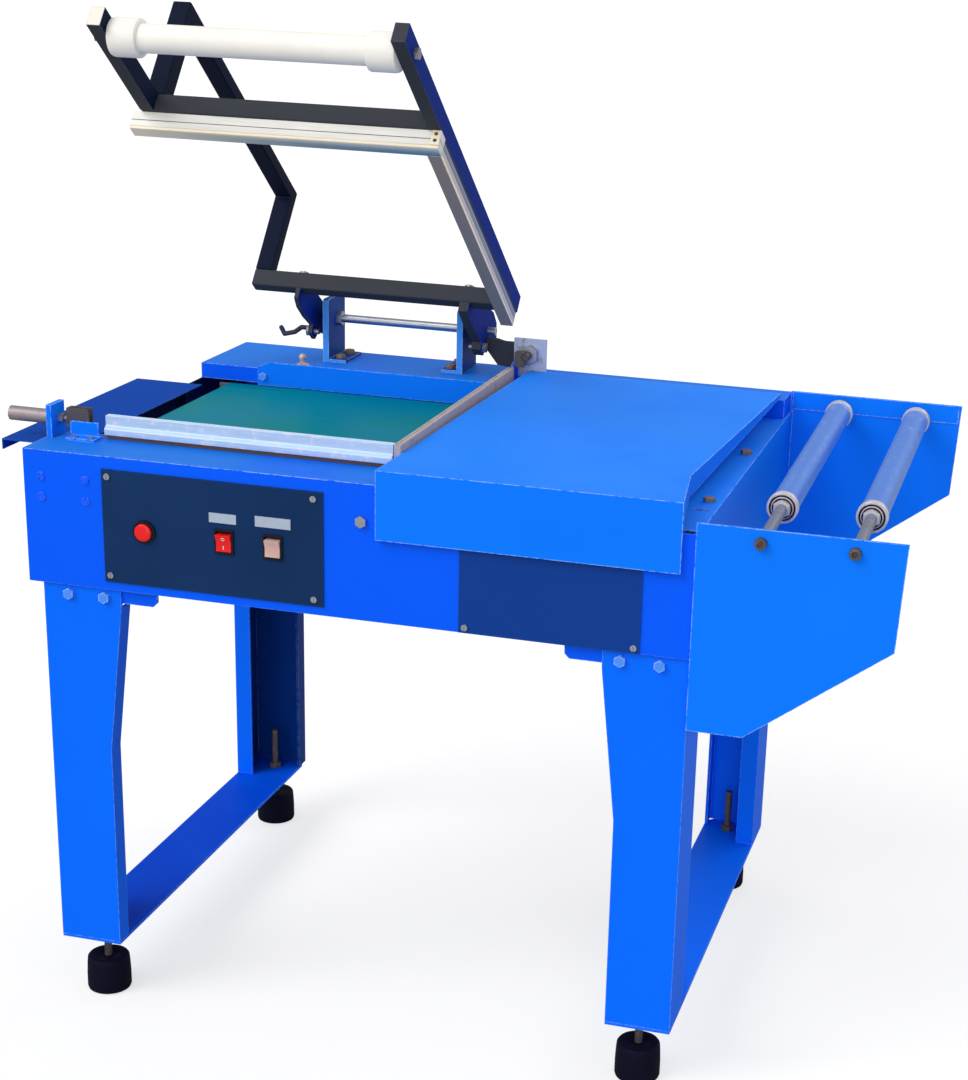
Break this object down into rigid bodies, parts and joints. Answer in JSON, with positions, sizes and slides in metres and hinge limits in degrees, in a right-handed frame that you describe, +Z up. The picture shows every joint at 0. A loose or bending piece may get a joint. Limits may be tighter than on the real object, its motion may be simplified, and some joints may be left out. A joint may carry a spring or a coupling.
{
  "type": "l bar sealer",
  "caption": "Film-wrapping sealer: blue cabinet on skid legs, belt conveyor, L-shaped hot bars under a hinged sealing arm, raised work table and a two-roller film cradle.",
  "frame": {"origin": "middle of the footprint, on the floor under the feet", "axes": "+X to the machine's right seen from the switches, +Y to the back, +Z up"},
  "size_m": [1.145, 0.671, 1.2686],
  "materials": {
    "blue_paint": "gloss enamel",
    "tray_paint": "gloss enamel",
    "dark_panel": "satin enamel",
    "arm_paint": "satin enamel",
    "zinc": "zinc plated",
    "bright_steel": "turned",
    "bar_metal": "worn",
    "jaw_metal": "mill finish",
    "jaw_rubber": "matt silicone",
    "white_plastic": "PVC pipe",
    "belt_rubber": "smooth PVC",
    "foot_rubber": "matt",
    "red_plastic": "gloss",
    "black_plastic": "satin",
    "pale_plastic": "gloss",
    "label_plastic": "satin",
    "roller_steel": "worn enamel",
    "bearing_steel": "bearing steel",
    "strip_board": "phenolic board",
    "motor_paint": "hammer finish"
  },
  "bodies": {
    "machine": {"transformer": "motor_paint", "cabinet": "blue_paint", "exit_tray": "tray_paint", "rear_cover": "blue_paint", "guard_plate": "blue_paint", "work_table": "blue_paint", "film_cradle": "blue_paint", "cradle_bolts": "zinc", "film_axles": "bright_steel", "leg_front_left": "blue_paint", "leg_fasteners": "zinc", "leg_gussets": "blue_paint", "leg_back_left": "blue_paint", "foot_pads": "foot_rubber", "skid_left": "blue_paint", "leg_front_right": "blue_paint", "leg_back_right": "blue_paint", "skid_right": "blue_paint", "conveyor_belt": "belt_rubber", "conveyor_frame": "motor_paint", "gear_motor": "motor_paint", "drive_belt": "foot_rubber", "front_screws": "zinc", "control_panel": "dark_panel", "button_collar": "black_plastic", "switch_bezels": "black_plastic", "switch_labels": "label_plastic", "access_door": "dark_panel", "bar_strips": "strip_board", "front_seal_bar": "bar_metal", "seal_wires": "bearing_steel", "side_seal_bar": "bar_metal", "left_tensioner": "zinc", "right_tensioner": "zinc", "cover_fittings": "zinc", "hinge_brackets": "blue_paint", "hinge_shaft": "bright_steel"},
    "arm": {"arm_side_tube": "arm_paint", "arm_hinge_bar": "arm_paint", "arm_front_bar": "arm_paint", "arm_prong": "arm_paint", "arm_goose_neck": "arm_paint", "handle_pipe": "white_plastic", "handle_caps": "white_plastic", "arm_bolts": "zinc", "front_jaw": "jaw_metal", "side_jaw": "jaw_metal", "jaw_pads": "jaw_rubber", "hinge_lugs": "arm_paint"},
    "main_switch": {"main_rocker": "red_plastic"},
    "conveyor_switch": {"conveyor_rocker": "pale_plastic"},
    "push_button": {"stop_button": "red_plastic"},
    "inner_film_roller": {"film_roller_inner": "roller_steel", "film_roller_inner_bearings": "bearing_steel"},
    "outer_film_roller": {"film_roller_outer": "roller_steel", "film_roller_outer_bearings": "bearing_steel"},
    "drive_roller": {"drive_drum": "bright_steel"},
    "idler_roller": {"idler_drum": "bright_steel"},
    "motor_output": {"motor_pulley": "zinc"}
  },
  "joints": [
    {"name": "arm_hinge", "type": "hinge", "parent": "machine", "child": "arm", "pos_m": [-0.2405, 0.28334, 0.8195], "axis": [1, 0, 0], "range_deg": [0, 39.1], "stiffness_Nm_per_rad": 22, "springref_deg": -126.05},
    {"name": "main_rocker_tilt", "type": "hinge", "parent": "machine", "child": "main_switch", "pos_m": [-0.2455, -0.32016, 0.661], "axis": [1, 0, 0], "range_deg": [-18, 0]},
    {"name": "conveyor_rocker_tilt", "type": "hinge", "parent": "machine", "child": "conveyor_switch", "pos_m": [-0.1825, -0.32016, 0.661], "axis": [1, 0, 0], "range_deg": [-18, 0]},
    {"name": "button_press", "type": "slide", "parent": "machine", "child": "push_button", "axis": [0, 1, 0], "range_m": [0, 0.003], "stiffness_N_per_m": 300, "springref_m": -0.001},
    {"name": "inner_roller_spin", "type": "hinge", "parent": "machine", "child": "inner_film_roller", "pos_m": [0.4075, -0.32816, 0.733], "axis": [0, 0.9998, 0.0213], "continuous": true},
    {"name": "outer_roller_spin", "type": "hinge", "parent": "machine", "child": "outer_film_roller", "pos_m": [0.514, -0.32816, 0.733], "axis": [0, 0.9998, 0.0213], "continuous": true},
    {"name": "drive_roller_spin", "type": "hinge", "parent": "machine", "child": "drive_roller", "pos_m": [-0.0823, -0.22316, 0.7162], "axis": [0, 1, 0], "continuous": true},
    {"name": "idler_roller_spin", "type": "hinge", "parent": "machine", "child": "idler_roller", "pos_m": [-0.4477, -0.22316, 0.7162], "axis": [0, 1, 0], "continuous": true},
    {"name": "motor_output_spin", "type": "hinge", "parent": "machine", "child": "motor_output", "pos_m": [-0.1625, 0.16784, 0.636], "axis": [0, 1, 0], "continuous": true}
  ],
  "couplings": [
    {"joint": "idler_roller_spin", "follows": "drive_roller_spin", "ratio": 1},
    {"joint": "motor_output_spin", "follows": "drive_roller_spin", "ratio": 1}
  ]
}
